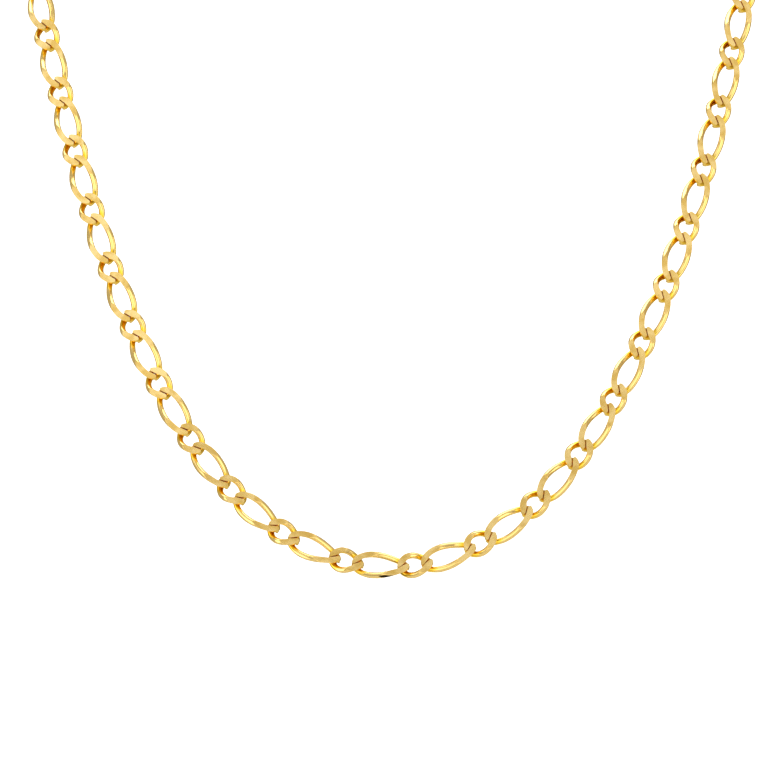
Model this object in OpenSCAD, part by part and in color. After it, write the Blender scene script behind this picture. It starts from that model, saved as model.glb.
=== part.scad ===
// Figaro neck chain: one closed loop of twisted and ground wire links, long and short in turn.
// Millimetres. Z is up and the front of the necklace faces -Y. The origin is at the nape.

/* [Necklace] */
// Length of the closed necklace, its clasp and rings included
loop_len = 457; // [430:1:490]
// Width of the loop as it hangs, before it is sized to its length
hang_w = 114; // [106:1:122]
// Depth of the loop from the nape to its front, before it is sized to its length
hang_depth = 110; // [104:1:118]
// Drop from the nape to the lowest link, before it is sized to its length
hang_drop = 120; // [112:1:128]
// How far round the loop the middle link stands past the middle of the front
front_shift = 3.7; // [0:0.1:5]

/* [Links] */
// Length of a long link over its wire
long_len = 8.5; // [8.1:0.02:8.9]
// Width of a long link over its wire
long_w = 4.16; // [4:0.02:4.4]
// Length of a short link over its wire
short_len = 5.34; // [5.2:0.02:5.8]
// Width of a short link over its wire
short_w = 4; // [3.9:0.02:4.2]
// Thickness of the links' wire
wire_d = 0.84; // [0.78:0.02:0.88]
// Width of the wire halfway along the sides of a link, where it is pressed wider
side_w = 0.94; // [0.84:0.02:1]
// Turn of each end of a link out of the flat of the chain, in degrees
twist = 45; // [42:1:48]
// Thickness of the chain between its two ground faces
flat_t = 1.3; // [1.25:0.05:1.5]
// Gap between the ground faces of two hooked links
face_gap = 0.18; // [0.18:0.01:0.24]
// Slant of that gap to the line of the chain, in degrees
gap_slant = 36; // [30:1:38]
// Clearance between the wires of two hooked links
play = 0.16; // [0.16:0.01:0.22]

/* [Clasp] */
// Length of the clasp from the end of its eye to the end of its claw
clasp_len = 10.4; // [9.6:0.1:11]
// Width of the clasp across its claw
clasp_w = 4.7; // [4.5:0.1:5.2]
// Thickness of the claw's bar
claw_d = 1.2; // [1:0.05:1.3]
// Thickness of the clasp's flat body
body_t = 1.3; // [1.1:0.05:1.5]
// Width of the clasp's eye
eye_w = 2.9; // [2.8:0.1:3.2]
// Thickness of the eye's wire
eye_d = 0.76; // [0.7:0.02:0.8]

/* [Jump rings] */
// Outer diameter of a jump ring
ring_od = 4.4; // [4.2:0.1:4.8]
// Thickness of a jump ring's wire
ring_d = 0.7; // [0.6:0.02:0.76]
// Clearance between a jump ring and what it holds
ring_play = 0.44; // [0.42:0.02:0.5]

/* [Hidden] */
// The five pieces, each one node
// Shows one node, or all of them

// The route of the chain, from the nape down the left of the picture and up its right.
// Columns: across, back and up as shares of the loop's width, depth and drop, then the way
// the flat of the chain faces: across, back and up.
route = [
    [0, 0.014, 0, 0, 0.75, 0.65],
    [-0.224, -0.023, 0.004, -0.3, 0.65, 0.7],
    [-0.404, -0.173, -0.017, -0.45, 0.25, 0.85],
    [-0.496, -0.382, -0.057, -0.4, -0.25, 0.85],
    [-0.499, -0.582, -0.174, -0.3, -0.75, 0.6],
    [-0.452, -0.677, -0.357, -0.22, -0.87, 0.4],
    [-0.397, -0.768, -0.548, -0.2, -0.88, 0.4],
    [-0.327, -0.855, -0.728, -0.16, -0.88, 0.44],
    [-0.21, -0.941, -0.919, -0.1, -0.85, 0.52],
    [-0.002, -0.986, -1.019, 0, -0.85, 0.53],
    [0.204, -0.945, -0.921, 0.08, -0.88, 0.47],
    [0.324, -0.855, -0.73, 0.12, -0.88, 0.42],
    [0.394, -0.768, -0.563, 0.15, -0.88, 0.4],
    [0.451, -0.677, -0.366, 0.18, -0.87, 0.4],
    [0.496, -0.582, -0.174, 0.28, -0.75, 0.6],
    [0.497, -0.382, -0.057, 0.4, -0.25, 0.85],
    [0.404, -0.173, -0.017, 0.45, 0.25, 0.85],
    [0.224, -0.023, 0.004, 0.3, 0.65, 0.7]
];
// Steps measured in each stretch of the route
steps = 16;

// How much fuller than an ellipse the ends of the ovals are, as shares of their length
long_full = 0.05;
short_full = 0.02;
// Sections round a long and a short link, and how far they crowd towards the ends, in degrees
cuts = [16, 12];
crowd = [8, 5];
// How far to each side of a section the way of the wire is measured, in degrees
near_turn = 0.1;
// Half of the least angle that a side of the wire spans, in degrees
least_half = 30;
// How far from a joint its ground faces are spread in full, and where the spread ends,
// as shares of the wire
spread_near = 0.7;
spread_far = 1.6;
// How much of the wire is ground off where a face is spread in full, as a share of the wire
spread_cut = 0.1;

// Facets round a ring, and round the bar that it is bent from
ring_cuts = 32;
bar_cuts = 24;

// How far the slot in the clasp's body reaches from the claw's middle to the neck
slot_reach = 0.55;
// How deep the hole in the body is let in to the claw's bar
claw_bite = 0.4;
// The slot's round end beside that hole, and its straight sides beside both
slot_taper = 0.5;
slot_side = 0.98;
// How far the shoulders stand out past the middle of the claw's bar
shoulder_rise = 0.28;
// Half of the neck's width beside the eye, and how deep the neck is let in to the eye's bar
neck_share = 0.85;
neck_lap = 0.6;
// How far to each side of the claw's middle the body widens, beside the claw
body_back = 0.27;

// Distance from one link's middle to the next one's
pitch = (long_len + short_len) / 2 - 2 * wire_d - play;
// From a link's middle to the middle of its hooked joint
long_half = (long_len - 2 * wire_d - play) / 2;
short_half = (short_len - 2 * wire_d - play) / 2;

// Clasp and rings: radii of the bars' middles, and the places of their middles along the loop
ring_r = (ring_od - ring_d) / 2;
claw_r = (clasp_w - claw_d) / 2;
eye_r = (eye_w - eye_d) / 2;
clasp_span = clasp_len - eye_d - claw_d;
ring_apart = 2 * ring_r + clasp_span - ring_d - 2 * ring_play;
ring_to_link = ring_r + long_len / 2 - wire_d - ring_d / 2 - ring_play;
clasp_stretch = ring_apart + 2 * ring_to_link;

// Pairs of links that fill the loop, and the size that the route takes to close on them
pairs = round((loop_len - clasp_stretch) / (2 * pitch));
links = 2 * pairs + 1;
whole = 2 * pairs * pitch + clasp_stretch;

// A row of the route in millimetres
function knot(i) = let (
    row = route[(i + len(route)) % len(route)]
) [row[0] * hang_w, row[1] * hang_depth, row[2] * hang_drop, row[3], row[4], row[5]];

function first_share(t) = (1 - t) * (1 - t) * (1 - t) / 6;
function near_share(t) = (3 * t * t * t - 6 * t * t + 4) / 6;
// A smooth closed line led by the rows of the route
function along(i, t) = first_share(t) * knot(i - 1) + near_share(t) * knot(i)
    + near_share(1 - t) * knot(i + 1) + first_share(1 - t) * knot(i + 2);
function row_at(u) = along(floor(u), u - floor(u));
function xyz(row) = [row[0], row[1], row[2]];
function facing(row) = [row[3], row[4], row[5]];
function unit(v) = v / norm(v);

samples = len(route) * steps;
// Length along the route up to each step, beside the step
marks = [for (i = 0, s = 0; i <= samples;
    s = s + norm(xyz(row_at((i + 1) / steps)) - xyz(row_at(i / steps))), i = i + 1) [s, i / steps]];
tour = marks[samples][0];
grow = whole / tour;

// The row of the route at a length along the closed necklace
function spot(s) = row_at(lookup(s / grow - tour * floor(s / whole), marks));

// Frame of a rigid piece that reaches from one length to another: x along it, z out of its face
function frame(s0, s1) = let (
    p0 = grow * xyz(spot(s0)),
    p1 = grow * xyz(spot(s1)),
    middle = (p0 + p1) / 2,
    x = unit(p1 - p0),
    face = facing(spot((s0 + s1) / 2)),
    z = unit(face - x * (face * x)),
    y = cross(z, x)
) [
    [x[0], y[0], z[0], middle[0]],
    [x[1], y[1], z[1], middle[1]],
    [x[2], y[2], z[2], middle[2]],
    [0, 0, 0, 1]
];

middle_link = whole / 2 + front_shift;
function link_at(k) = middle_link + (k - pairs) * pitch;
last_link = link_at(links - 1);
// The catch ring follows the last link, and the clasp ring goes before the first one
catch_at = last_link + ring_to_link;
clasp_ring_at = catch_at + ring_apart;

// A point of a link's wire: an oval whose ends turn out of the flat by the twist
function wire_point(a, b, full, t) = let (
    x = a * (cos(t) - full * cos(3 * t)) / (1 - full),
    w = b * sin(t),
    turn = -twist * x / a
) [x, w * cos(turn), w * sin(turn)];

// Half of the angle that a ground face spans on the wire, never less than a plain side's
function face_half(rise) = max(least_half, acos(max(-1, min(1, rise))));

// How far a corner of a ground face reaches in to the gap at the joint it is nearest to.
// The end that holds a ring, -1 or 1, is left round.
function spread(corner, cut, side, joint, ring_end) = let (
    end = corner[0] > 0 ? 1 : -1,
    away = [end * sin(gap_slant), (corner[2] > 0 ? -end : end) * cos(gap_slant)],
    from_joint = [corner[0] - end * joint, corner[1]],
    reach = from_joint * away - face_gap / 2,
    off_middle = abs(from_joint[0] * away[1] - from_joint[1] * away[0]) / wire_d,
    share = max(0, min(1, (spread_far - off_middle) / (spread_far - spread_near)))
        * max(0, min(1, cut / wire_d / spread_cut))
) end == ring_end ? 0 : share * max(0, reach) / (away * [side[0], side[1]]);

// A corner of the wire's section, kept between the ground faces and spread inwards by a length
function ground(corner, side, inwards) = let (
    p = corner - inwards * side
) [p[0], p[1], max(-flat_t / 2, min(flat_t / 2, p[2]))];

// Six corners of the wire, with a side up and a side down that widen where the wire is ground
function section(a, b, full, joint, ring_end, t) = let (
    r = wire_d / 2,
    h = flat_t / 2,
    c = wire_point(a, b, full, t),
    dir = unit(wire_point(a, b, full, t + near_turn) - wire_point(a, b, full, t - near_turn)),
    rise = [0, 0, 1] - dir * dir[2],
    up = unit(rise),
    side = cross(dir, up),
    top = face_half((h - c[2]) / (r * up[2])),
    low = 180 - face_half((h + c[2]) / (r * up[2])),
    middle = (top + low) / 2,
    wide = 1 + (side_w / wire_d - 1) * sin(t) * sin(t),
    cut = [r * up[2] - c[2] - h, r * up[2] + c[2] - h],
    corners = [for (q = [top, middle, low, -low, -middle, -top])
        c + r * (cos(q) * up + wide * sin(q) * side)]
) [for (i = [0 : 5]) ground(corners[i], side,
    i == 3 ? spread(corners[i], cut[0], side, joint, ring_end)
    : i == 5 ? spread(corners[i], cut[1], side, joint, ring_end) : 0)];

module link(length, width, full, joint, ring_end, cuts, crowd) {
    a = (length - wire_d) / 2;
    b = (width - side_w) / 2;
    turns = [for (i = [0 : cuts - 1]) i * 360 / cuts - crowd * sin(i * 720 / cuts)];
    points = [for (t = turns) each section(a, b, full, joint, ring_end, t)];
    quads = [for (i = [0 : cuts - 1], j = [0 : 5])
        [i * 6 + j, i * 6 + (j + 1) % 6, (i + 1) % cuts * 6 + j, (i + 1) % cuts * 6 + (j + 1) % 6]];
    faces = [for (q = quads, half = [0, 1]) half == 0 ? [q[0], q[2], q[3]] : [q[0], q[3], q[1]]];
    polyhedron(points, faces, 4);
}

// Even links are long and odd links are short
module placed_link(k) {
    s = link_at(k);
    half = k % 2 == 0 ? long_half : short_half;
    ring_end = k == 0 ? -1 : k == links - 1 ? 1 : 0;
    multmatrix(frame(s - half, s + half)) {
        if (k % 2 == 0) {
            link(long_len, long_w, long_full, long_half, ring_end, cuts[0], crowd[0]);
        } else {
            link(short_len, short_w, short_full, short_half, ring_end, cuts[1], crowd[1]);
        }
    }
}

module chain_left() {
    color([0.93, 0.72, 0.32])
    for (k = [0 : pairs - 1]) {
        placed_link(k);
    }
}

module chain_right() {
    color([0.93, 0.72, 0.32])
    for (k = [pairs : links - 1]) {
        placed_link(k);
    }
}

module round_ring(r, d) {
    rotate_extrude($fn = ring_cuts)
    translate([r, 0])
    circle(d = d, $fn = bar_cuts);
}

// A jump ring stands on edge to the flat of the chain
module jump_ring(s) {
    color([0.93, 0.72, 0.32])
    multmatrix(frame(s - ring_r, s + ring_r))
    rotate([90, 0, 0])
    round_ring(ring_r, ring_d);
}

module clasp_ring() {
    jump_ring(clasp_ring_at);
}

module catch_ring() {
    jump_ring(catch_at);
}

// The clasp in one piece: a round claw, a flat tapered body and an eye
module clasp() {
    claw_x = claw_r - claw_d / 2 - clasp_span / 2;
    eye_x = clasp_span / 2 + eye_d / 2 - eye_r;
    neck_x = eye_x - eye_r + eye_d * (neck_lap - 0.5);
    slot_x = claw_x + (neck_x - claw_x) * slot_reach;
    hole_r = claw_r - claw_d * claw_bite;
    slot_r = hole_r * slot_taper;
    shoulder = claw_r + claw_d * shoulder_rise;
    neck = eye_r * neck_share;
    widen = claw_r * body_back;
    through = 2 * body_t;
    color([0.93, 0.72, 0.32])
    multmatrix(frame(catch_at + ring_apart / 2 - clasp_span / 2, catch_at + ring_apart / 2 + clasp_span / 2)) {
        translate([claw_x, 0, 0])
        round_ring(claw_r, claw_d);
        translate([eye_x, 0, 0])
        round_ring(eye_r, eye_d);
        difference() {
            linear_extrude(height = body_t, center = true)
            polygon([
                [claw_x - widen, -claw_r],
                [claw_x + widen, -shoulder],
                [neck_x, -neck],
                [neck_x, neck],
                [claw_x + widen, shoulder],
                [claw_x - widen, claw_r]
            ]);
            translate([claw_x, 0, 0])
            cylinder(h = through, r = hole_r, center = true, $fn = ring_cuts);
            translate([slot_x, 0, 0])
            cylinder(h = through, r = slot_r, center = true, $fn = ring_cuts);
            linear_extrude(height = through, center = true)
            polygon([
                [claw_x, -hole_r * slot_side],
                [slot_x, -slot_r * slot_side],
                [slot_x, slot_r * slot_side],
                [claw_x, hole_r * slot_side]
            ]);
        }
    }
}

chain_left();
chain_right();
clasp_ring();
clasp();
catch_ring();
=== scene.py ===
import math

import bmesh
import bpy
import numpy as np
from bpy.props import FloatProperty, FloatVectorProperty, IntProperty, PointerProperty
from bpy.types import Operator, Panel, PropertyGroup
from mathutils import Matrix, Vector


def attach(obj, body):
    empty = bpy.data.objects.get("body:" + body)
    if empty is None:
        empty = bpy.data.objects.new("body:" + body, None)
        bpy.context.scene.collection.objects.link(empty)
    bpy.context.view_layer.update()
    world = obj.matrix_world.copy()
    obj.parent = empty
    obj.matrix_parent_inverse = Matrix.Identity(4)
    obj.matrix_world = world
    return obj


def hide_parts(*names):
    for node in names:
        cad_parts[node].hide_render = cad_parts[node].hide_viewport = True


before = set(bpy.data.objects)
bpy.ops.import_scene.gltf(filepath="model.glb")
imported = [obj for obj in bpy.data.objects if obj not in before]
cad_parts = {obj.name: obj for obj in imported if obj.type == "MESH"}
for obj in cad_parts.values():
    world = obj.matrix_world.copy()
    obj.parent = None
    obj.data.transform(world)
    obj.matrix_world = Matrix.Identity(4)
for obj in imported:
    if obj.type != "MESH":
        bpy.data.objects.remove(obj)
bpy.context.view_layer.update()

bl_info = {
    "name": "Figaro Chain",
    "version": (1, 0, 0),
    "blender": (4, 5, 0),
    "location": "View3D > Sidebar > Chain",
    "description": "Builds a gold figaro neck chain, its clasp and rings, and a pale studio",
    "category": "Add Mesh",
}

MM = 0.001

# The chain's route, from the nape down the left of the picture and up its right.
# Columns: across, back and up as shares of the loop's width, depth and drop, then the way the
# flat of the chain faces: across, back and up.
ROUTE = [
    (0, 0.014, 0, 0, 0.75, 0.65),
    (-0.224, -0.023, 0.004, -0.3, 0.65, 0.7),
    (-0.404, -0.173, -0.017, -0.45, 0.25, 0.85),
    (-0.496, -0.382, -0.057, -0.4, -0.25, 0.85),
    (-0.499, -0.582, -0.174, -0.3, -0.75, 0.6),
    (-0.452, -0.677, -0.357, -0.22, -0.87, 0.4),
    (-0.397, -0.768, -0.548, -0.2, -0.88, 0.4),
    (-0.327, -0.855, -0.728, -0.16, -0.88, 0.44),
    (-0.21, -0.941, -0.919, -0.1, -0.85, 0.52),
    (-0.002, -0.986, -1.019, 0, -0.85, 0.53),
    (0.204, -0.945, -0.921, 0.08, -0.88, 0.47),
    (0.324, -0.855, -0.73, 0.12, -0.88, 0.42),
    (0.394, -0.768, -0.563, 0.15, -0.88, 0.4),
    (0.451, -0.677, -0.366, 0.18, -0.87, 0.4),
    (0.496, -0.582, -0.174, 0.28, -0.75, 0.6),
    (0.497, -0.382, -0.057, 0.4, -0.25, 0.85),
    (0.404, -0.173, -0.017, 0.45, 0.25, 0.85),
    (0.224, -0.023, 0.004, 0.3, 0.65, 0.7),
]
# Steps in which each stretch of the route is measured
ROUTE_STEPS = 16


class ChainSizes(PropertyGroup):
    loop_len: FloatProperty(
        name="Loop length", description="Length of the closed necklace",
        default=0.457, unit="LENGTH", subtype="DISTANCE")
    hang_w: FloatProperty(
        name="Hanging width", description="Width of the loop before it is sized to its length",
        default=0.114, unit="LENGTH", subtype="DISTANCE")
    hang_depth: FloatProperty(
        name="Hanging depth", description="Depth of the loop before it is sized to its length",
        default=0.11, unit="LENGTH", subtype="DISTANCE")
    hang_drop: FloatProperty(
        name="Hanging drop", description="Drop from nape to lowest link before the loop is sized",
        default=0.12, unit="LENGTH", subtype="DISTANCE")
    front_shift: FloatProperty(
        name="Front shift", description="How far the middle link stands past the middle of the front",
        default=0.0037, unit="LENGTH", subtype="DISTANCE")
    long_len: FloatProperty(
        name="Long link length", description="Length of a long link over its wire",
        default=0.0085, unit="LENGTH", subtype="DISTANCE")
    long_w: FloatProperty(
        name="Long link width", description="Width of a long link over its wire",
        default=0.00416, unit="LENGTH", subtype="DISTANCE")
    short_len: FloatProperty(
        name="Short link length", description="Length of a short link over its wire",
        default=0.00534, unit="LENGTH", subtype="DISTANCE")
    short_w: FloatProperty(
        name="Short link width", description="Width of a short link over its wire",
        default=0.004, unit="LENGTH", subtype="DISTANCE")
    wire_d: FloatProperty(
        name="Wire thickness", description="Thickness of the links' wire",
        default=0.00084, unit="LENGTH", subtype="DISTANCE")
    side_w: FloatProperty(
        name="Side width", description="Width of the wire halfway along the sides of a link",
        default=0.00094, unit="LENGTH", subtype="DISTANCE")
    twist: FloatProperty(
        name="Twist", description="Turn of each end of a link out of the flat of the chain",
        default=math.radians(45), subtype="ANGLE")
    flat_t: FloatProperty(
        name="Ground thickness", description="Thickness of the chain between its ground faces",
        default=0.0013, unit="LENGTH", subtype="DISTANCE")
    face_gap: FloatProperty(
        name="Face gap", description="Gap between the ground faces of two hooked links",
        default=0.00018, unit="LENGTH", subtype="DISTANCE")
    gap_slant: FloatProperty(
        name="Gap slant", description="Slant of the face gap to the line of the chain",
        default=math.radians(36), subtype="ANGLE")
    play: FloatProperty(
        name="Link play", description="Clearance between the wires of two hooked links",
        default=0.00016, unit="LENGTH", subtype="DISTANCE")
    long_full: FloatProperty(
        name="Long link fullness", description="How much fuller than an ellipse a long link's ends are",
        default=0.05)
    short_full: FloatProperty(
        name="Short link fullness", description="How much fuller than an ellipse a short link's ends are",
        default=0.02)
    rock: FloatProperty(
        name="Rock", description="How far single links rock about the line of the chain",
        default=math.radians(3.5), subtype="ANGLE")
    long_cuts: IntProperty(
        name="Long link sections", description="Sections round a long link", default=80)
    short_cuts: IntProperty(
        name="Short link sections", description="Sections round a short link", default=64)


class ClaspSizes(PropertyGroup):
    clasp_len: FloatProperty(
        name="Clasp length", description="Length from the end of the eye to the end of the claw",
        default=0.0104, unit="LENGTH", subtype="DISTANCE")
    clasp_w: FloatProperty(
        name="Clasp width", description="Width of the clasp across its claw",
        default=0.0047, unit="LENGTH", subtype="DISTANCE")
    claw_d: FloatProperty(
        name="Claw thickness", description="Thickness of the claw's bar",
        default=0.0012, unit="LENGTH", subtype="DISTANCE")
    body_t: FloatProperty(
        name="Body thickness", description="Thickness of the clasp's flat body",
        default=0.0013, unit="LENGTH", subtype="DISTANCE")
    eye_w: FloatProperty(
        name="Eye width", description="Width of the clasp's eye",
        default=0.0029, unit="LENGTH", subtype="DISTANCE")
    eye_d: FloatProperty(
        name="Eye thickness", description="Thickness of the eye's wire",
        default=0.00076, unit="LENGTH", subtype="DISTANCE")
    ring_od: FloatProperty(
        name="Ring diameter", description="Outer diameter of a jump ring",
        default=0.0044, unit="LENGTH", subtype="DISTANCE")
    ring_d: FloatProperty(
        name="Ring thickness", description="Thickness of a jump ring's wire",
        default=0.0007, unit="LENGTH", subtype="DISTANCE")
    ring_play: FloatProperty(
        name="Ring play", description="Clearance between a jump ring and what it holds",
        default=0.00044, unit="LENGTH", subtype="DISTANCE")
    slot_reach: FloatProperty(
        name="Slot reach", description="Reach of the body's slot, from the claw to the neck", default=0.55)
    claw_bite: FloatProperty(
        name="Claw bite", description="Depth of the body's hole in the claw's bar", default=0.4)
    slot_taper: FloatProperty(
        name="Slot taper", description="Round end of the slot beside the hole", default=0.5)
    shoulder_rise: FloatProperty(
        name="Shoulder rise", description="Reach of the shoulders past the claw's bar", default=0.28)
    neck_share: FloatProperty(
        name="Neck share", description="Half of the neck beside the eye", default=0.85)
    neck_lap: FloatProperty(
        name="Neck lap", description="Depth of the neck in the eye's bar", default=0.6)
    body_back: FloatProperty(
        name="Body back", description="Stretch over which the body widens, beside the claw", default=0.27)
    edge_round: FloatProperty(
        name="Edge rounding", description="Rounding of the body's edges",
        default=0.00022, unit="LENGTH", subtype="DISTANCE")
    seam_w: FloatProperty(
        name="Seam half width", description="Half width of the fine line where a ring's ends meet",
        default=0.00005, unit="LENGTH", subtype="DISTANCE")
    seam_depth: FloatProperty(
        name="Seam depth", description="Depth of the fine line where a ring's ends meet",
        default=0.00003, unit="LENGTH", subtype="DISTANCE")


class GoldLook(PropertyGroup):
    gold: FloatVectorProperty(
        name="Gold", description="Colour of the polished gold",
        default=(1.0, 0.76, 0.31), subtype="COLOR", size=3)
    deep_gold: FloatVectorProperty(
        name="Deep gold", description="Colour of the gold where it is a little redder",
        default=(0.96, 0.7, 0.24), subtype="COLOR", size=3)
    # Painted shade: the gold is painted a dark orange-brown deep between two hooked links, where shade
    # falls
    tuck_shade_gold: FloatVectorProperty(
        name="Tucked gold", description="Colour of the gold deep between two hooked links",
        default=(0.68, 0.36, 0.015), subtype="COLOR", size=3)
    # Painted shade: a deeper, more saturated gold painted on the wire where it goes in under the next link
    near_shade_gold: FloatVectorProperty(
        name="Near gold", description="Colour of the wire where it goes in under the next link",
        default=(0.97, 0.64, 0.035), subtype="COLOR", size=3)
    # How much of that painted shade the round wire takes
    near_shade_share: FloatProperty(
        name="Near share", description="How much of the near gold the round wire takes", default=0.85)
    # Painted shade: how much of the dark tucked gold the ground faces take
    ground_shade_share: FloatProperty(
        name="Ground tuck share", description="How much of the tucked gold the ground faces take",
        default=0.15)
    warm_ground: FloatVectorProperty(
        name="Warm ground gold", description="Colour of the ground faces where they are redder",
        default=(0.8, 0.55, 0.16), subtype="COLOR", size=3)
    ground_gold: FloatVectorProperty(
        name="Ground gold", description="Colour of the ground faces",
        default=(0.99, 0.76, 0.33), subtype="COLOR", size=3)
    wire_rough: FloatProperty(
        name="Wire roughness", description="Roughness of the polished wire where it is smoothest",
        default=0.07)
    wire_rough_more: FloatProperty(
        name="Wire roughness spread", description="How much rougher the wire is on its drawing lines",
        default=0.09)
    wire_relief: FloatProperty(
        name="Wire relief", description="Strength of the wire's drawing lines", default=0.06)
    ground_rough: FloatProperty(
        name="Ground roughness", description="Roughness of the ground faces where they are smoothest",
        default=0.2)
    ground_rough_more: FloatProperty(
        name="Ground roughness spread", description="How much rougher they are on their grinding lines",
        default=0.16)
    ground_relief: FloatProperty(
        name="Ground relief", description="Strength of the faces' grinding lines", default=0.12)
    line_depth: FloatProperty(
        name="Line depth", description="Depth of the drawing and grinding lines at full strength",
        default=0.00002, unit="LENGTH", subtype="DISTANCE")


class StudioSizes(PropertyGroup):
    view_distance: FloatProperty(
        name="Camera distance", description="From the camera to the lowest link",
        default=0.7325, unit="LENGTH", subtype="DISTANCE")
    eye_height: FloatProperty(
        name="Camera height", description="Height of the camera above the lowest link",
        default=0.02546, unit="LENGTH", subtype="DISTANCE")
    frame_width: FloatProperty(
        name="Frame width", description="Width of the picture at the lowest link",
        default=0.11375, unit="LENGTH", subtype="DISTANCE")
    floor_drop: FloatProperty(
        name="Floor drop", description="From the nape down to the studio floor",
        default=0.45, unit="LENGTH", subtype="DISTANCE")
    backdrop_back: FloatProperty(
        name="Backdrop distance", description="From the nape back to the backdrop",
        default=2.4, unit="LENGTH", subtype="DISTANCE")
    sweep_shade: FloatProperty(
        name="Sweep shade", description="How pale the floor and the backdrop are", default=0.8)
    glow_radius: FloatProperty(
        # Painted light: the backdrop glows pure white in a round patch, which fades over a soft edge
        name="Glow radius", description="Reach of the backdrop's pure white patch",
        default=0.38, unit="LENGTH", subtype="DISTANCE")
    glow_edge: FloatProperty(
        name="Glow edge", description="Width of the soft edge of the white patch",
        default=0.2, unit="LENGTH", subtype="DISTANCE")
    room_colour: FloatVectorProperty(
        name="Room colour", description="Tint of the soft light from all round",
        default=(1.0, 0.93, 0.8), subtype="COLOR", size=3)
    world_light: FloatProperty(
        name="Room light", description="Strength of the soft light from all round", default=0.52)
    sweep_reach: FloatProperty(
        name="Sweep reach", description="How far the sweep reaches to the front, to each side and up",
        default=2.2, unit="LENGTH", subtype="DISTANCE")
    sweep_bend: FloatProperty(
        name="Sweep bend", description="Radius of the bend from the floor to the backdrop",
        default=0.35, unit="LENGTH", subtype="DISTANCE")


def sizes():
    """The sizes of the loop and its links."""
    return bpy.context.scene.figaro_sizes


def clasp_sizes():
    """The sizes of the clasp and the jump rings."""
    return bpy.context.scene.figaro_clasp


def look():
    """The colours and the finish of the gold."""
    return bpy.context.scene.figaro_look


def studio():
    """The sizes of the studio and its camera's view."""
    return bpy.context.scene.figaro_studio


class Socket:
    """A shader socket that takes part in Python arithmetic."""

    def __init__(self, shader, socket):
        self.shader = shader
        self.socket = socket

    def maths(self, operation, *values):
        return self.shader.node("ShaderNodeMath", {"operation": operation}, *values)

    def __add__(self, other):
        return self.maths("ADD", self, other)

    def __radd__(self, other):
        return self.maths("ADD", other, self)

    def __mul__(self, other):
        return self.maths("MULTIPLY", self, other)

    def __rmul__(self, other):
        return self.maths("MULTIPLY", other, self)


class Shader:
    """A material's nodes, added one by one with the values and links of their sockets."""

    def __init__(self, name):
        self.material = bpy.data.materials.new(name)
        self.material.use_nodes = True
        self.tree = self.material.node_tree
        self.tree.nodes.clear()

    def node(self, kind, settings, *values, out=0, **named):
        """Adds a node. Its sockets are given in order or by name, and None leaves one as it is."""
        made = self.tree.nodes.new(kind)
        for key, value in settings.items():
            setattr(made, key, value)
        sockets = dict(enumerate(values))
        sockets.update((key.replace("_", " "), value) for key, value in named.items())
        for key, value in sockets.items():
            if isinstance(value, Socket):
                self.tree.links.new(value.socket, made.inputs[key])
            elif value is not None:
                made.inputs[key].default_value = value
        return None if out is None else Socket(self, made.outputs[out])

    def mix(self, factor, first, second):
        """Mixes two colours, which come after the five sockets for numbers and vectors."""
        return self.node(
            "ShaderNodeMix", {"data_type": "RGBA"}, factor, *[None] * 5, first, second, out=2)

    def finish(self, surface):
        self.node("ShaderNodeOutputMaterial", {}, surface, out=None)
        return self.material


# Noise in the gold, on places in millimetres: its scale, detail and roughness
WIRE_WANDER = (0.9, 3.0, 0.5)
WIRE_LINES = (14.0, 3.0, 0.6)
GROUND_WANDER = (0.6, 3.0, 0.5)
GROUND_LINES = (1.0, 4.0, 0.65)
# Scale of the grinding lines along, across and through the chain
GRIND_PITCH = (1.2, 26.0, 1.0)
# The stretch of their wander over which the ground faces turn redder
WARM_RANGE = (0.38, 0.62)
# The stretches of tucked depth over which the painted shade comes in: first the near gold, then the tucked
# gold
NEAR_RANGE = (0.15, 0.5)
DEEP_RANGE = (0.5, 0.95)
GROUND_DEEP_RANGE = (0.5, 1.0)
# Cloud in the studio's paint, on places in metres, how dark it makes it, and its roughness
PAINT_CLOUD = (3.0, 2.0, 0.5)
PAINT_DARKER = 0.985
PAINT_ROUGH = 0.9


def colour(value):
    return (*value, 1.0)


def noise(shader, place, scale, detail, rough):
    return shader.node(
        "ShaderNodeTexNoise", {}, Vector=place, Scale=scale, Detail=detail, Roughness=rough)


def come_in(shader, value, start, end, share):
    """From 0 where a value is at the start of a range up to a share at the range's end."""
    return shader.node("ShaderNodeMapRange", {}, value, start, end, 0.0, share)


def stored(shader, name, out):
    """What each point of a piece keeps under a name."""
    return shader.node("ShaderNodeAttribute", {"attribute_name": name}, out=out)


def bare_metal(shader, gold, rough, lines, strength):
    """Gold of a colour and roughness, with fine lines in relief."""
    bump = shader.node(
        "ShaderNodeBump", {}, Strength=strength, Distance=look().line_depth, Height=lines)
    surface = shader.node(
        "ShaderNodeBsdfPrincipled", {}, Base_Color=gold, Metallic=1.0, Roughness=rough, Normal=bump)
    return shader.finish(surface)


def polished_gold():
    """Drawn and polished gold wire: a faint wander of colour, very fine drawing lines, and painted shade
    deep between the hooked links.
    """
    tones = look()
    shader = Shader("polished_gold")
    place = stored(shader, "link_place", "Vector")
    tuck_shade = stored(shader, "tuck_shade", "Fac")
    lines = noise(shader, place, *WIRE_LINES)
    gold = shader.mix(
        noise(shader, place, *WIRE_WANDER), colour(tones.gold), colour(tones.deep_gold))
    # Painted shade: the deeper near gold where the wire goes in under the next link
    near = come_in(shader, tuck_shade, *NEAR_RANGE, tones.near_shade_share)
    gold = shader.mix(near, gold, colour(tones.near_shade_gold))
    # Painted shade: the dark tucked gold deep between the hooked links
    deep = come_in(shader, tuck_shade, *DEEP_RANGE, 1.0)
    gold = shader.mix(deep, gold, colour(tones.tuck_shade_gold))
    rough = tones.wire_rough + lines * tones.wire_rough_more
    return bare_metal(shader, gold, rough, lines, tones.wire_relief)


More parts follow.
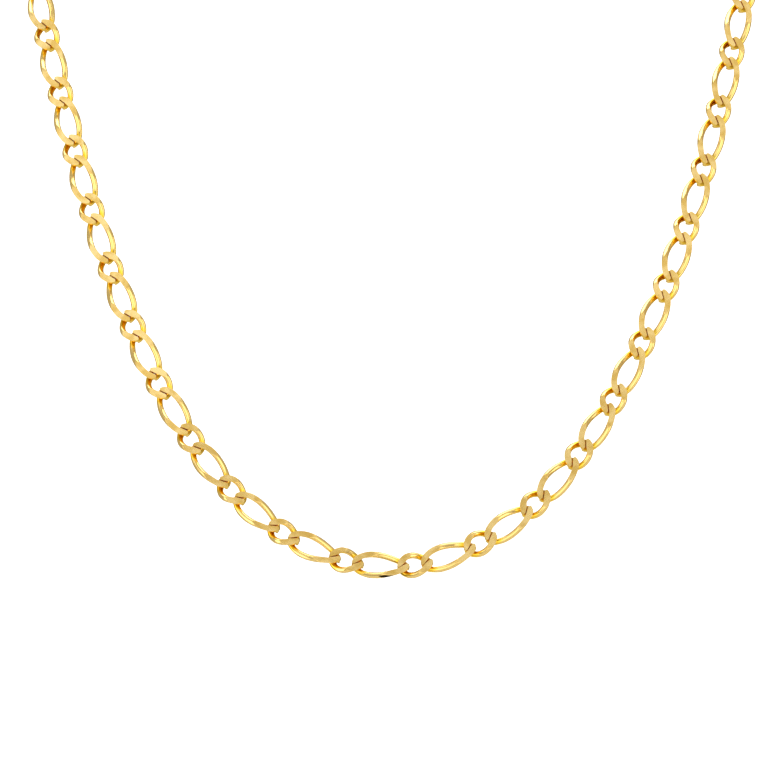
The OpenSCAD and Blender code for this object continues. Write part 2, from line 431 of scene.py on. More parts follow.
def ground_gold():
    """The faces ground flat: satin, with grinding lines along the chain and a little painted shade deep
    between the links.
    """
    tones = look()
    shader = Shader("ground_gold")
    place = stored(shader, "link_place", "Vector")
    tuck_shade = stored(shader, "tuck_shade", "Fac")
    close = shader.node("ShaderNodeVectorMath", {"operation": "MULTIPLY"}, place, GRIND_PITCH)
    lines = noise(shader, close, *GROUND_LINES)
    warm = come_in(shader, noise(shader, place, *GROUND_WANDER), *WARM_RANGE, 1.0)
    gold = shader.mix(warm, colour(tones.ground_gold), colour(tones.warm_ground))
    # Painted shade: a little of the dark tucked gold deep between the hooked links
    deep = come_in(shader, tuck_shade, *GROUND_DEEP_RANGE, tones.ground_shade_share)
    gold = shader.mix(deep, gold, colour(tones.tuck_shade_gold))
    rough = tones.ground_rough + lines * tones.ground_rough_more
    return bare_metal(shader, gold, rough, lines, tones.ground_relief)


def clouded(shader, place, shade):
    """A grey of one shade with a very faint cloud in it."""
    darker = shade * PAINT_DARKER
    return shader.mix(
        noise(shader, place, *PAINT_CLOUD), colour([shade] * 3), colour([darker] * 3))


def card_paint(name, shade):
    """Matt paint of a studio card."""
    shader = Shader(name)
    place = shader.node("ShaderNodeTexCoord", {}, out="Object")
    surface = shader.node(
        "ShaderNodeBsdfPrincipled", {}, Base_Color=clouded(shader, place, shade),
        Roughness=PAINT_ROUGH)
    return shader.finish(surface)


def sweep_paint(middle):
    """Matt paint of the sweep, with painted light: it glows pure white in a round patch about a middle."""
    st = studio()
    shader = Shader("studio_white")
    place = shader.node("ShaderNodeTexCoord", {}, out="Object")
    away = shader.node(
        "ShaderNodeVectorMath", {"operation": "DISTANCE"}, place, middle, out="Value")
    fade = shader.node(
        "ShaderNodeMapRange", {"interpolation_type": "SMOOTHSTEP"}, away,
        st.glow_radius, st.glow_radius + st.glow_edge, 1.0, 0.0)
    # Painted light: the glow of the white patch
    glow = shader.mix(fade, colour([0.0] * 3), colour([1.0] * 3))
    surface = shader.node(
        "ShaderNodeBsdfPrincipled", {}, Base_Color=clouded(shader, place, st.sweep_shade),
        Roughness=PAINT_ROUGH, Emission_Color=glow, Emission_Strength=1.0)
    return shader.finish(surface)


MAKERS = {"polished_gold": polished_gold, "ground_gold": ground_gold}


def material(name):
    """The gold of a name, made the first time it is asked for."""
    found = bpy.data.materials.get(name)
    return found if found is not None else MAKERS[name]()


def unit(v):
    return v / np.linalg.norm(v)


def route_row(u):
    """The smooth closed line that the route's rows lead, a cubic B-spline, u rows from the nape."""
    i = math.floor(u)
    t = u - i
    shares = ((1 - t) ** 3, 3 * t ** 3 - 6 * t ** 2 + 4, 3 * (1 - t) ** 3 - 6 * (1 - t) ** 2 + 4, t ** 3)
    s = sizes()
    scale = np.array([s.hang_w, s.hang_depth, s.hang_drop, 1, 1, 1])
    rows = [scale * ROUTE[(i + step) % len(ROUTE)] for step in (-1, 0, 1, 2)]
    return sum(share * row for share, row in zip(shares, rows)) / 6


class Plan:
    """Where each link, ring and the clasp lie along the closed loop, in metres."""

    def __init__(self):
        s = sizes()
        c = clasp_sizes()
        self.pitch = (s.long_len + s.short_len) / 2 - 2 * s.wire_d - s.play
        self.long_half = (s.long_len - 2 * s.wire_d - s.play) / 2
        self.short_half = (s.short_len - 2 * s.wire_d - s.play) / 2
        self.ring_r = (c.ring_od - c.ring_d) / 2
        self.clasp_span = c.clasp_len - c.eye_d - c.claw_d
        self.ring_apart = 2 * self.ring_r + self.clasp_span - c.ring_d - 2 * c.ring_play
        ring_to_link = self.ring_r + s.long_len / 2 - s.wire_d - c.ring_d / 2 - c.ring_play
        clasp_stretch = self.ring_apart + 2 * ring_to_link
        self.pairs = round((s.loop_len - clasp_stretch) / (2 * self.pitch))
        self.links = 2 * self.pairs + 1
        self.whole = 2 * self.pairs * self.pitch + clasp_stretch
        count = len(ROUTE) * ROUTE_STEPS
        points = np.array([route_row(i / ROUTE_STEPS)[:3] for i in range(count + 1)])
        steps = np.linalg.norm(np.diff(points, axis=0), axis=1)
        self.marks = np.concatenate([[0], np.cumsum(steps)])
        self.rows = np.arange(count + 1) / ROUTE_STEPS
        self.grow = self.whole / self.marks[-1]
        self.catch_at = self.link_at(self.links - 1) + ring_to_link
        self.clasp_ring_at = self.catch_at + self.ring_apart

    def link_at(self, k):
        """How far along the loop the middle of link k lies."""
        return self.whole / 2 + sizes().front_shift + (k - self.pairs) * self.pitch

    def spot(self, along):
        """The row of the route at a length along the loop."""
        wrapped = (along % self.whole) / self.grow
        return route_row(float(np.interp(wrapped, self.marks, self.rows)))

    def seat(self, middle, half):
        """Place and axes of a rigid piece: x along the chain and z out of its face."""
        start = middle - half
        end = middle + half
        p0 = self.spot(start)[:3] * self.grow
        p1 = self.spot(end)[:3] * self.grow
        x = unit(p1 - p0)
        face = self.spot((start + end) / 2)[3:]
        z = unit(face - x * np.dot(face, x))
        return (p0 + p1) / 2, np.stack([x, np.cross(z, x), z])


class Form:
    """A mesh in the making: its points and faces, and what each of them keeps."""

    def __init__(self, points, faces, tuck_shade=0.0, ground=False, flat=False):
        self.points = points
        self.faces = faces
        self.place = points / MM
        self.tuck_shade = np.zeros(len(points)) + tuck_shade
        self.ground = np.logical_or(np.zeros(len(faces), dtype=bool), ground)
        self.flat = np.logical_or(np.zeros(len(faces), dtype=bool), flat)

    def moved(self, points):
        """The same form with its points moved."""
        return Form(points, self.faces, self.tuck_shade, self.ground, self.flat)

    def seated(self, seat, roll=0.0, noise_shift=(0.0, 0.0, 0.0)):
        """The form rolled about its own x and put on a seat of the plan, with its noise moved on."""
        middle, axes = seat
        x, y, z = self.points.T
        rolled = np.stack([
            x, y * math.cos(roll) - z * math.sin(roll), y * math.sin(roll) + z * math.cos(roll)], axis=-1)
        made = self.moved(middle + rolled @ axes)
        made.place = self.place + noise_shift
        return made


def joined(forms):
    """Several forms as one."""
    faces = []
    used = 0
    for form in forms:
        faces += [tuple(i + used for i in face) for face in form.faces]
        used += len(form.points)
    made = Form(np.concatenate([form.points for form in forms]), faces)
    for kept in ("place", "tuck_shade", "ground", "flat"):
        setattr(made, kept, np.concatenate([getattr(form, kept) for form in forms]))
    return made


def add_piece(name, node, form):
    """A gold piece in place of a node. Its points keep their place on their link and how deeply tucked
    they sit, which sets their painted shade.
    """
    mesh = bpy.data.meshes.new(name)
    mesh.from_pydata(form.points.tolist(), [], form.faces)
    mesh.polygons.foreach_set("use_smooth", np.logical_not(form.flat))
    mesh.polygons.foreach_set("material_index", form.ground.astype(np.int32))
    place = mesh.attributes.new("link_place", "FLOAT_VECTOR", "POINT")
    place.data.foreach_set("vector", form.place.astype(np.float32).ravel())
    tuck_shade = mesh.attributes.new("tuck_shade", "FLOAT", "POINT")
    tuck_shade.data.foreach_set("value", form.tuck_shade.astype(np.float32))
    mesh.materials.append(material("polished_gold"))
    mesh.materials.append(material("ground_gold"))
    mesh.update()
    made = bpy.data.objects.new(name, mesh)
    bpy.context.scene.collection.objects.link(made)
    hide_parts(node)
    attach(made, "root")


# Step in turn round a link over which its wire's direction is measured
TURN_STEP = 0.001
# Places of a section's points: shares of a ground face's half, and of the round side between
FACE_SHARES = np.array([-1.0, -0.93, -0.55, 0.0, 0.55, 0.93, 1.0])
SIDE_SHARES = np.array([0.05, 0.2, 0.36, 0.5, 0.64, 0.8, 0.95])
# The points of a section run over its front face, a side, its back face and the other side
BACK_START = len(FACE_SHARES) + len(SIDE_SHARES)
BACK_END = BACK_START + len(FACE_SHARES) - 1
AROUND = 2 * BACK_START
# Half the turn of those faces where the wire isn't ground
LEAST_FACE = math.radians(9)
# How far the sections of a link crowd together
LONG_CROWD = math.radians(8)
SHORT_CROWD = math.radians(5)
# How far from a joint its ground faces are spread in full, and where the spread ends, in wires
SPREAD_NEAR = 0.7
SPREAD_FAR = 1.6
# How much is ground off where a face is spread in full, in wires
SPREAD_CUT = 0.1
# How far from the middle of the next link's wire a point is tucked in full and not at all, in wires; how
# deeply tucked it is sets its painted shade
TUCK_NEAR = 0.72
TUCK_FAR = 1.9
# Turns round the next link at which that is measured
TUCK_TURNS = np.radians(np.arange(0, 360, 5))


class LinkShape:
    """The long or the short links, which lie flat about their middle with their ends along x."""

    def __init__(self, length, width, full, joint, cuts, crowd):
        s = sizes()
        self.half_len = (length - s.wire_d) / 2
        self.half_w = (width - s.side_w) / 2
        self.full = full
        self.joint = joint
        turns = np.arange(cuts) * math.tau / cuts
        self.turns = turns - crowd * np.sin(2 * turns)

    def wire(self, turns):
        """Points of the wire's middle line: an oval whose ends turn out of the flat by the twist."""
        x = self.half_len * (np.cos(turns) - self.full * np.cos(3 * turns)) / (1 - self.full)
        w = self.half_w * np.sin(turns)
        turn = -sizes().twist * x / self.half_len
        return np.stack([x, w * np.cos(turn), w * np.sin(turn)], axis=-1)

    def sections(self, turns):
        """Each section's middle, its upward and sideways axes, and how much wider than round it is."""
        s = sizes()
        ways = self.wire(turns + TURN_STEP) - self.wire(turns - TURN_STEP)
        wider = 1 + (s.side_w / s.wire_d - 1) * np.sin(turns) ** 2
        for middle, way, wide in zip(self.wire(turns), ways, wider):
            along = unit(way)
            up = unit(np.array([0.0, 0.0, 1.0]) - along * along[2])
            yield middle, up, np.cross(along, up), wide


def face_half(rise):
    """Half the turn of a section that a ground face takes, whose plane lies rise radii up."""
    return max(LEAST_FACE, math.acos(max(-1.0, min(1.0, rise))))


def skin(up, side, wide, turn):
    """From a section's middle to its skin at a turn from its upward axis, in radii."""
    return np.cos(turn) * up + wide * np.sin(turn) * side


def spread(edge, cut, side, joint, ring_end):
    """How far the edge of a ground face reaches in to the gap at the joint it is nearest to."""
    s = sizes()
    end = 1 if edge[0] > 0 else -1
    if cut <= 0 or end == ring_end:
        return 0.0
    lean = -end if edge[2] > 0 else end
    away = np.array([end * math.sin(s.gap_slant), lean * math.cos(s.gap_slant)])
    from_joint = np.array([edge[0] - end * joint, edge[1]])
    reach = from_joint @ away - s.face_gap / 2
    off_middle = abs(from_joint[0] * away[1] - from_joint[1] * away[0]) / s.wire_d
    share = min(1.0, max(0.0, (SPREAD_FAR - off_middle) / (SPREAD_FAR - SPREAD_NEAR)))
    share *= min(1.0, cut / (SPREAD_CUT * s.wire_d))
    return share * max(0.0, reach) / (away @ side[:2])


def tucked(points, shape, beside, ring_end):
    """How deep each point sits between its link and the links hooked to it, from 0 to 1: the mask of the
    painted shade.
    """
    least = np.full(len(points), math.inf)
    for end in (-1, 1):
        if end != ring_end:
            next_wire = beside.wire(TUCK_TURNS) + (end * (shape.joint + beside.joint), 0, 0)
            apart = np.linalg.norm(points[:, None] - next_wire[None], axis=2).min(axis=1)
            least = np.minimum(least, apart)
    return np.clip((TUCK_FAR - least / sizes().wire_d) / (TUCK_FAR - TUCK_NEAR), 0, 1)


def bare_link(shape, beside, ring_end):
    """A link of wire ground flat in front and behind, beside two links of the other kind."""
    s = sizes()
    r = s.wire_d / 2
    h = s.flat_t / 2
    half_side = 1 - np.clip(2 * SIDE_SHARES, 0, 1)
    rings = []
    cuts = []
    for middle, up, side, wide in shape.sections(shape.turns):
        front = face_half((h - middle[2]) / (r * up[2]))
        back = face_half((h + middle[2]) / (r * up[2]))
        span = math.pi - front - back
        turns = np.concatenate([
            front * FACE_SHARES,
            front + span * SIDE_SHARES,
            math.pi + back * FACE_SHARES,
            math.pi + back + span * SIDE_SHARES,
        ])
        ring = middle + r * skin(up, side, wide, turns[:, None])
        front_in = spread(ring[0], middle[2] + r * up[2] - h, side, shape.joint, ring_end)
        back_in = spread(ring[BACK_END], r * up[2] - middle[2] - h, side, shape.joint, ring_end)
        inwards = np.concatenate([
            front_in * np.clip(-FACE_SHARES, 0, 1),
            np.zeros(len(SIDE_SHARES)),
            back_in * np.clip(FACE_SHARES, 0, 1),
            back_in * half_side + front_in * half_side[::-1],
        ])
        ring -= inwards[:, None] * side
        ring[:, 2] = np.clip(ring[:, 2], -h, h)
        rings.append(ring)
        cuts.append((front > LEAST_FACE, back > LEAST_FACE))
    faces = []
    ground = []
    for i in range(len(rings)):
        ahead = (i + 1) % len(rings)
        for j in range(AROUND):
            next_j = (j + 1) % AROUND
            faces.append((
                i * AROUND + j, i * AROUND + next_j, ahead * AROUND + next_j, ahead * AROUND + j))
            is_front = j < len(FACE_SHARES) - 1 and (cuts[i][0] or cuts[ahead][0])
            is_back = BACK_START <= j < BACK_END and (cuts[i][1] or cuts[ahead][1])
            ground.append(is_front or is_back)
    points = np.concatenate(rings)
    return Form(points, faces, tucked(points, shape, beside, ring_end), ground)


# The ground plate over a link's end. Its rim follows the wire at these turns round the link, and lies
# on the wire at this turn of a section.
PLATE_TURNS = np.radians(np.arange(-50, -1, 4))
PLATE_EDGE = math.radians(55)
# The foot of the rim's wall lies further round the section, a little inside the wire
PLATE_FOOT_TURN = 0.25
PLATE_FOOT_REACH = 0.98
# The gap between two plates at the top and at the foot of their walls, in face gaps
PLATE_GAP = 1.1
PLATE_FOOT_GAP = 0.2
# How far the round corner goes in from the tip and the plate past the joint's middle, in wires
PLATE_CORNER = 0.45
PLATE_INNER = 0.65
PLATE_INNER_POINTS = 4
# Shares of the corner's bend at its points, and how far the foot of each has sunk
PLATE_BENDS = (0.3, 0.55, 0.8)
PLATE_SINKS = (0.2, 0.5, 0.9)
# The plate's depth in the chain's thickness, and how far it stands over the wire's own ground faces
PLATE_DEPTH = 0.2
PLATE_RAISE = 0.000002
# How much painted shade the wall along the rim takes, as a depth of tuck. The wall along the gap takes the
# painted shade in full.
PLATE_RIM_SHADE = 0.45


def end_plate(shape):
    """The ground plate that covers a link's end in front, up to the line of the gap."""
    s = sizes()
    r = s.wire_d / 2
    h = s.flat_t / 2
    away = np.array([math.sin(s.gap_slant), -math.cos(s.gap_slant)])
    line = np.array([math.cos(s.gap_slant), math.sin(s.gap_slant)])
    rim = []
    foot = []
    for middle, up, side, wide in shape.sections(PLATE_TURNS):
        edge = max(PLATE_EDGE, face_half((h - middle[2]) / (r * up[2])))
        rim.append((middle + r * skin(up, side, wide, edge))[:2])
        edge = min(math.pi / 2, edge + PLATE_FOOT_TURN)
        foot.append(middle + r * PLATE_FOOT_REACH * skin(up, side, wide, edge))
    joint = np.array([shape.joint, 0])
    base = joint + away * s.face_gap * PLATE_GAP / 2
    sink = away * s.face_gap * (PLATE_FOOT_GAP - PLATE_GAP) / 2
    tip = rim[-1]
    tip_along = (tip - joint) @ line
    corner_along = tip_along - PLATE_CORNER * s.wire_d
    past_tip = base + line * tip_along
    corner_end = base + line * corner_along
    corner = [
        (1 - u) ** 2 * tip + 2 * u * (1 - u) * past_tip + u ** 2 * corner_end for u in PLATE_BENDS]
    inner_run = np.linspace(corner_along, -PLATE_INNER * s.wire_d, PLATE_INNER_POINTS)
    inner = [base + line * along for along in inner_run]
    inside = shape.wire(PLATE_TURNS)[0, :2]
    low = h - PLATE_DEPTH * s.flat_t
    tip_low = foot[-1][2]
    foot += [(*(point + sink * u), tip_low + (low - tip_low) * u)
             for point, u in zip(corner, PLATE_SINKS)]
    foot += [(*(point + sink), low) for point in inner]
    foot.append((*inside, low))
    outline = np.array([*rim, *corner, *inner, inside])
    count = len(outline)
    top = np.column_stack([outline, np.full(count, h + PLATE_RAISE)])
    faces = [tuple(range(count))]
    for i in range(count):
        after = (i + 1) % count
        faces.append((count + i, 2 * count + i, 2 * count + after, count + after))
    faces.append(tuple(range(3 * count - 1, 2 * count - 1, -1)))
    # The plate's walls are painted with shade, as if tucked between the links
    walls = np.where(np.arange(count) < len(rim), PLATE_RIM_SHADE, 1.0)
    tuck_shade = np.concatenate([np.zeros(count), walls, walls])
    return Form(np.concatenate([top, top, foot]), faces, tuck_shade, np.arange(len(faces)) == 0, True)


def plated_link(shape, beside, ring_end):
    """A link with a ground plate in front and behind over each end that holds another link."""
    plate = end_plate(shape)
    forms = [bare_link(shape, beside, ring_end)]
    for end in (1, -1):
        if end != ring_end:
            for front in (1, -1):
                forms.append(plate.moved(plate.points * (end, end * front, front)))
    return joined(forms)


# How the rocking goes on from link to link, and how far the noise moves on, in millimetres
ROCK_START = 1.7
ROCK_STEP = 12.9898
NOISE_STEP = np.array([17.3, 5.1, 0.0])


def build_half(name, node, plan, which):
    """Adds a half of the chain, given by its links' numbers, of which the even ones are long."""
    s = sizes()
    long_link = LinkShape(
        s.long_len, s.long_w, s.long_full, plan.long_half, s.long_cuts, LONG_CROWD)
    short_link = LinkShape(
        s.short_len, s.short_w, s.short_full, plan.short_half, s.short_cuts, SHORT_CROWD)
    shapes = (long_link, short_link)
    # The first link holds a ring at its start and the last link at its end
    ring_ends = {0: -1, plan.links - 1: 1}
    made = {}
    links = []
    for k in which:
        kind = (k % 2, ring_ends.get(k, 0))
        shape = shapes[k % 2]
        if kind not in made:
            made[kind] = plated_link(shape, shapes[(k + 1) % 2], ring_ends.get(k, 0))
        rock = s.rock * math.sin(k * ROCK_STEP + ROCK_START)
        links.append(made[kind].seated(plan.seat(plan.link_at(k), shape.joint), rock, k * NOISE_STEP))
    add_piece(name, node, joined(links))


# Cuts round and across the claw and the jump rings, and round and across the eye
RING_CUTS = (128, 40)
EYE_CUTS = (96, 32)
# The turns round a jump ring and round the claw at which their fine lines lie
RING_SEAMS = (2.2,)
CLAW_SEAMS = (1.35, math.pi)
# Cuts over a seam, in half widths of its line from its middle, and how far the other cuts keep off
SEAM_CUTS = (-2, -1, 0, 1, 2)
SEAM_CLEAR = 3
# Points on the slopes of the clasp's body, and on its short bends
SLOPE_POINTS = 25
BEND_POINTS = 9
# How much of the slope to the neck runs straight, beside an S
SLOPE_STRAIGHT = 0.6
# Cuts over the body's rounded edges, and how near points are merged, in their roundings
EDGE_CUTS = 5
MERGE_REACH = 0.02
# The least upward part of the body's flat faces
FLAT_RISE = 0.999


def bar_ring(radius, bar, cuts, seams):
    """A round ring in the x-y plane, with a fine line across its bar at the turn of each seam."""
    c = clasp_sizes()
    around, across = cuts
    half = c.seam_w / radius
    turns = list(np.arange(around) * math.tau / around)
    for seam in seams:
        turns = [t for t in turns if abs(t - seam) > SEAM_CLEAR * half]
        turns += [seam + cut * half for cut in SEAM_CUTS]
    turns.sort()
    q = np.arange(across) * math.tau / across
    points = []
    for t in turns:
        groove = sum(math.exp(-((t - seam) / half) ** 2) for seam in seams) * c.seam_depth
        out = radius + (bar / 2 - groove) * np.cos(q)
        up = (bar / 2 - groove) * np.sin(q)
        points.append(np.stack([out * math.cos(t), out * math.sin(t), up], axis=-1))
    count = len(turns)
    faces = [
        (i * across + j, (i + 1) % count * across + j,
         (i + 1) % count * across + (j + 1) % across, i * across + (j + 1) % across)
        for i in range(count) for j in range(across)]
    return Form(np.concatenate(points), faces)


def build_ring(name, node, plan, place):
    """Adds a jump ring that stands on edge in the chain."""
    ring = bar_ring(plan.ring_r, clasp_sizes().ring_d, RING_CUTS, RING_SEAMS)
    add_piece(name, node, ring.seated(plan.seat(place, plan.ring_r), math.pi / 2))


def arc(middle, radius, start, end, steps):
    """Points of an arc about a middle on the x axis, its angles in degrees."""
    return [
        (middle + radius * math.cos(q), radius * math.sin(q))
        for q in np.radians(np.linspace(start, end, steps))]


def body_outline(claw_r, claw_x, neck_x, eye_r):
    """Outline of the clasp's flat body: shoulders, neck and the slot that opens to the claw."""
    c = clasp_sizes()
    widen = claw_r * c.body_back
    shoulder = claw_r + c.claw_d * c.shoulder_rise
    neck = eye_r * c.neck_share
    hole_r = claw_r - c.claw_d * c.claw_bite
    slot_r = hole_r * c.slot_taper
    slot_x = claw_x + (neck_x - claw_x) * c.slot_reach
    back = claw_x - widen
    front = claw_x + widen
    upper = [(back + 2 * widen * u, claw_r + (shoulder - claw_r) * math.sin(u * math.pi / 2))
             for u in np.linspace(0, 1, BEND_POINTS)[:-1]]
    for u in np.linspace(0, 1, SLOPE_POINTS):
        fall = SLOPE_STRAIGHT * u + (1 - SLOPE_STRAIGHT) * u * u * (3 - 2 * u)
        upper.append((front + (neck_x - front) * u, shoulder + (neck - shoulder) * fall))
    open_at = math.degrees(math.acos(-widen / hole_r))
    lean = math.degrees(math.asin((hole_r - slot_r) / (slot_x - claw_x)))
    inside = arc(claw_x, hole_r, -open_at, lean - 90, BEND_POINTS)
    inside += arc(slot_x, slot_r, lean - 90, 90 - lean, SLOPE_POINTS)
    inside += arc(claw_x, hole_r, 90 - lean, open_at, BEND_POINTS)
    return upper + [(x, -y) for x, y in reversed(upper)] + inside


def flat_body(outline, thickness, rounding):
    """A flat body with rounded edges, from its filled outline."""
    curve = bpy.data.curves.new("body_outline", "CURVE")
    curve.dimensions = "2D"
    curve.fill_mode = "BOTH"
    curve.extrude = thickness / 2 - rounding
    curve.bevel_depth = rounding
    curve.bevel_resolution = EDGE_CUTS
    curve.offset = -rounding
    spline = curve.splines.new("POLY")
    spline.points.add(len(outline) - 1)
    spline.points.foreach_set("co", [v for x, y in outline for v in (x, y, 0, 1)])
    spline.use_cyclic_u = True
    holder = bpy.data.objects.new("body_outline", curve)
    bpy.context.scene.collection.objects.link(holder)
    mesh = bpy.data.meshes.new_from_object(holder.evaluated_get(bpy.context.evaluated_depsgraph_get()))
    net = bmesh.new()
    net.from_mesh(mesh)
    bmesh.ops.remove_doubles(net, verts=net.verts, dist=rounding * MERGE_REACH)
    bmesh.ops.recalc_face_normals(net, faces=net.faces)
    net.verts.index_update()
    points = np.array([v.co for v in net.verts])
    faces = [tuple(v.index for v in face.verts) for face in net.faces]
    flat = [abs(face.normal.z) > FLAT_RISE for face in net.faces]
    net.free()
    bpy.data.meshes.remove(mesh)
    bpy.data.objects.remove(holder)
    bpy.data.curves.remove(curve)
    return Form(points, faces, flat=flat)


def build_clasp(name, node, plan):
    """Adds the clasp: its claw and eye are rings, and its flat body joins them."""
    c = clasp_sizes()
    claw_r = (c.clasp_w - c.claw_d) / 2
    eye_r = (c.eye_w - c.eye_d) / 2
    claw_x = claw_r - c.claw_d / 2 - plan.clasp_span / 2
    eye_x = plan.clasp_span / 2 + c.eye_d / 2 - eye_r
    neck_x = eye_x - eye_r + c.eye_d * (c.neck_lap - 0.5)
    claw = bar_ring(claw_r, c.claw_d, RING_CUTS, CLAW_SEAMS)
    eye = bar_ring(eye_r, c.eye_d, EYE_CUTS, ())
    body = flat_body(body_outline(claw_r, claw_x, neck_x, eye_r), c.body_t, c.edge_round)
    clasp = joined([
        claw.moved(claw.points + (claw_x, 0, 0)), eye.moved(eye.points + (eye_x, 0, 0)), body])
    at = plan.catch_at + plan.ring_apart / 2
    add_piece(name, node, clasp.seated(plan.seat(at, plan.clasp_span / 2)))


class FIGARO_OT_chain_left(Operator):
    """Builds the links from the clasp round the left of the picture to the front"""

    bl_idname = "figaro.chain_left"
    bl_label = "Left Half of the Chain"

    def execute(self, context):
        plan = Plan()
        build_half("chain_left_links", "chain_left", plan, range(plan.pairs))
        return {"FINISHED"}


class FIGARO_OT_chain_right(Operator):
    """Builds the links from the front round the right of the picture to the catch ring"""

    bl_idname = "figaro.chain_right"
    bl_label = "Right Half of the Chain"

    def execute(self, context):
        plan = Plan()
        build_half("chain_right_links", "chain_right", plan, range(plan.pairs, plan.links))
        return {"FINISHED"}


class FIGARO_OT_jump_rings(Operator):
    """Builds the two jump rings that join the chain's ends to the clasp"""

    bl_idname = "figaro.jump_rings"
    bl_label = "Jump Rings"

    def execute(self, context):
        plan = Plan()
        build_ring("clasp_jump_ring", "clasp_ring", plan, plan.clasp_ring_at)
        build_ring("catch_jump_ring", "catch_ring", plan, plan.catch_at)
        return {"FINISHED"}


class FIGARO_OT_clasp(Operator):
    """Builds the clasp: a round claw, a flat tapered body and an eye"""

    bl_idname = "figaro.clasp"
    bl_label = "Clasp"

    def execute(self, context):
        build_clasp("clasp_body", "clasp", Plan())
        return {"FINISHED"}


# The place of the lowest link, and the middle of the front, where the lights point
LOWEST_LINK = (0, -0.107, -0.118)
AIM = Vector((0, -0.09, -0.075))
# Softboxes and panels: turn left of straight ahead and lift over level in degrees, and distance from
# the middle of the front; width and height; brightness of the face beside white; its tint
LIGHTS = [
    ("left_softbox", (38, 42, 1.2), (1.14, 0.46), 0.67, (0.97, 0.98, 1.0)),
    ("right_softbox", (-30, 44, 1.2), (0.7, 0.56), 0.46, (1.0, 0.98, 0.93)),
    ("upper_softbox", (0, 66, 1.2), (0.9, 0.35), 0.24, (1.0, 0.8, 0.2)),
    ("top_softbox", (0, 102, 0.8), (1.0, 0.5), 2.4, (1.0, 1.0, 1.0)),
    ("front_panel", (0, 6, 1.4), (1.7, 0.95), 1.18, (1.0, 0.92, 0.78)),
    ("low_softbox", (0, -38, 0.9), (1.2, 0.45), 1.8, (1.0, 0.95, 0.8)),
    ("left_strip", (64, 2, 1.0), (0.4, 0.9), 1.75, (1.0, 0.92, 0.8)),
    ("right_strip", (-64, 2, 1.0), (0.4, 0.9), 1.5, (1.0, 0.92, 0.8)),
]
# A small dark card lies level under the lowest link, which reflects it: its place, width and length,
# turn about the upright in degrees, and shade
UNDER_CARD = ("under_card", (-0.0031, -0.1114, -0.1209), (0.002, 0.0112), -37, 0.005)
# Steps in the bend of the sweep
BEND_STEPS = 10
# The width of the camera's sensor, in millimetres, and the nearest thing it sees, in metres
SENSOR_WIDTH = 36
NEAREST = 0.05


def from_aim(turn, lift, distance):
    """A place seen from the middle of the front: turned to the left and lifted over level."""
    a = math.radians(turn)
    e = math.radians(lift)
    way = Vector((-math.sin(a) * math.cos(e), -math.cos(a) * math.cos(e), math.sin(e)))
    return AIM + way * distance


def add_softbox(name, place, size, shine, tint):
    """An area light whose face shines with the given brightness beside white."""
    lamp = bpy.data.lights.new(name, "AREA")
    lamp.shape = "RECTANGLE"
    lamp.size, lamp.size_y = size
    lamp.energy = shine * math.pi * size[0] * size[1]
    lamp.color = tint
    made = bpy.data.objects.new(name, lamp)
    made.location = place
    made.rotation_euler = (AIM - place).to_track_quat("-Z", "Y").to_euler()
    made.visible_camera = False
    bpy.context.scene.collection.objects.link(made)


def add_card(name, place, size, turn, shade):
    """A plain level card of the studio, seen only in what the gold reflects."""
    w = size[0] / 2
    h = size[1] / 2
    mesh = bpy.data.meshes.new(name)
    mesh.from_pydata([(-w, -h, 0), (w, -h, 0), (w, h, 0), (-w, h, 0)], [], [(0, 1, 2, 3)])
    mesh.materials.append(card_paint(name, shade))
    made = bpy.data.objects.new(name, mesh)
    made.location = place
    made.rotation_euler = (0, 0, math.radians(turn))
    made.visible_camera = False
    made.visible_shadow = False
    made.visible_diffuse = False
    bpy.context.scene.collection.objects.link(made)


def add_sweep():
    """A floor that bends up into a backdrop."""
    st = studio()
    back = st.backdrop_back
    bend = st.sweep_bend
    profile = [(-st.sweep_reach, -st.floor_drop)]
    for q in np.radians(np.linspace(0, 90, BEND_STEPS + 1)):
        profile.append((back - bend + bend * math.sin(q), bend - st.floor_drop - bend * math.cos(q)))
    profile.append((back, st.sweep_reach))
    points = [(x, y, z) for y, z in profile for x in (-st.sweep_reach, st.sweep_reach)]
    faces = [(2 * i, 2 * i + 1, 2 * i + 3, 2 * i + 2) for i in range(len(profile) - 1)]
    mesh = bpy.data.meshes.new("studio_sweep")
    mesh.from_pydata(points, [], faces)
    mesh.polygons.foreach_set("use_smooth", [True] * len(faces))
    mesh.materials.append(sweep_paint((0, back, st.eye_height + LOWEST_LINK[2])))
    made = bpy.data.objects.new("studio_sweep", mesh)
    bpy.context.scene.collection.objects.link(made)


def add_camera():
    """A level camera ahead of the lowest link and a little above it."""
    st = studio()
    camera = bpy.data.cameras.new("photo_camera")
    camera.sensor_fit = "HORIZONTAL"
    camera.sensor_width = SENSOR_WIDTH
    camera.lens = SENSOR_WIDTH * st.view_distance / st.frame_width
    camera.clip_start = NEAREST
    made = bpy.data.objects.new("photo_camera", camera)
    x, y, z = LOWEST_LINK
    made.location = (x, y - st.view_distance, z + st.eye_height)
    made.rotation_euler = (math.radians(90), 0, 0)
    bpy.context.scene.collection.objects.link(made)
    bpy.context.scene.camera = made


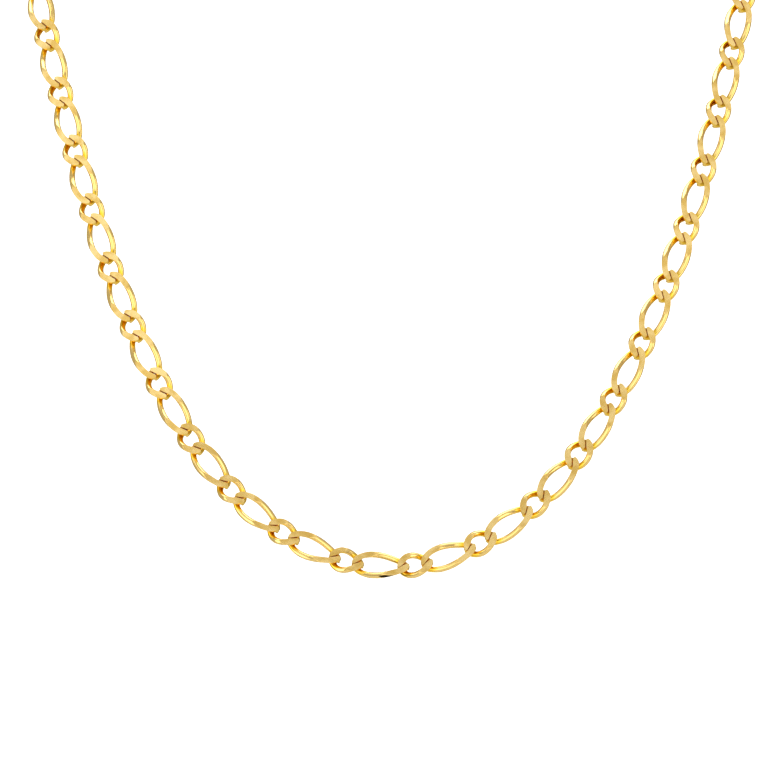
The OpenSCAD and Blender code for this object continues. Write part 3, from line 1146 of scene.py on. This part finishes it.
class FIGARO_OT_studio(Operator):
    """Builds the floor that sweeps up into a backdrop, the lights, a dark card and the camera"""

    bl_idname = "figaro.studio"
    bl_label = "Studio"

    def execute(self, context):
        add_sweep()
        world = bpy.data.worlds.new("studio_room")
        world.use_nodes = True
        room = world.node_tree.nodes["Background"]
        room.inputs["Color"].default_value = colour(studio().room_colour)
        room.inputs["Strength"].default_value = studio().world_light
        context.scene.world = world
        for name, place, size, shine, tint in LIGHTS:
            add_softbox(name, from_aim(*place), size, shine, tint)
        add_card(*UNDER_CARD)
        add_camera()
        context.scene.view_settings.view_transform = "Standard"
        context.scene.view_settings.look = "None"
        return {"FINISHED"}


class FIGARO_PT_panel(Panel):
    """Lists the steps that build the chain and its studio"""

    bl_idname = "FIGARO_PT_panel"
    bl_label = "Figaro Chain"
    bl_space_type = "VIEW_3D"
    bl_region_type = "UI"
    bl_category = "Chain"

    def draw(self, context):
        for step in OPERATORS:
            self.layout.operator(step.bl_idname)


GROUPS = {
    "figaro_sizes": ChainSizes,
    "figaro_clasp": ClaspSizes,
    "figaro_look": GoldLook,
    "figaro_studio": StudioSizes,
}
OPERATORS = [
    FIGARO_OT_studio,
    FIGARO_OT_chain_left,
    FIGARO_OT_chain_right,
    FIGARO_OT_jump_rings,
    FIGARO_OT_clasp,
]


def register():
    for name, group in GROUPS.items():
        bpy.utils.register_class(group)
        setattr(bpy.types.Scene, name, PointerProperty(type=group))
    for step in OPERATORS:
        bpy.utils.register_class(step)
    bpy.utils.register_class(FIGARO_PT_panel)


def unregister():
    bpy.utils.unregister_class(FIGARO_PT_panel)
    for step in reversed(OPERATORS):
        bpy.utils.unregister_class(step)
    for name, group in GROUPS.items():
        delattr(bpy.types.Scene, name)
        bpy.utils.unregister_class(group)


def main():
    register()
    bpy.ops.figaro.studio()
    bpy.ops.figaro.chain_left()
    bpy.ops.figaro.chain_right()
    bpy.ops.figaro.jump_rings()
    bpy.ops.figaro.clasp()


if __name__ == "__main__":
    main()
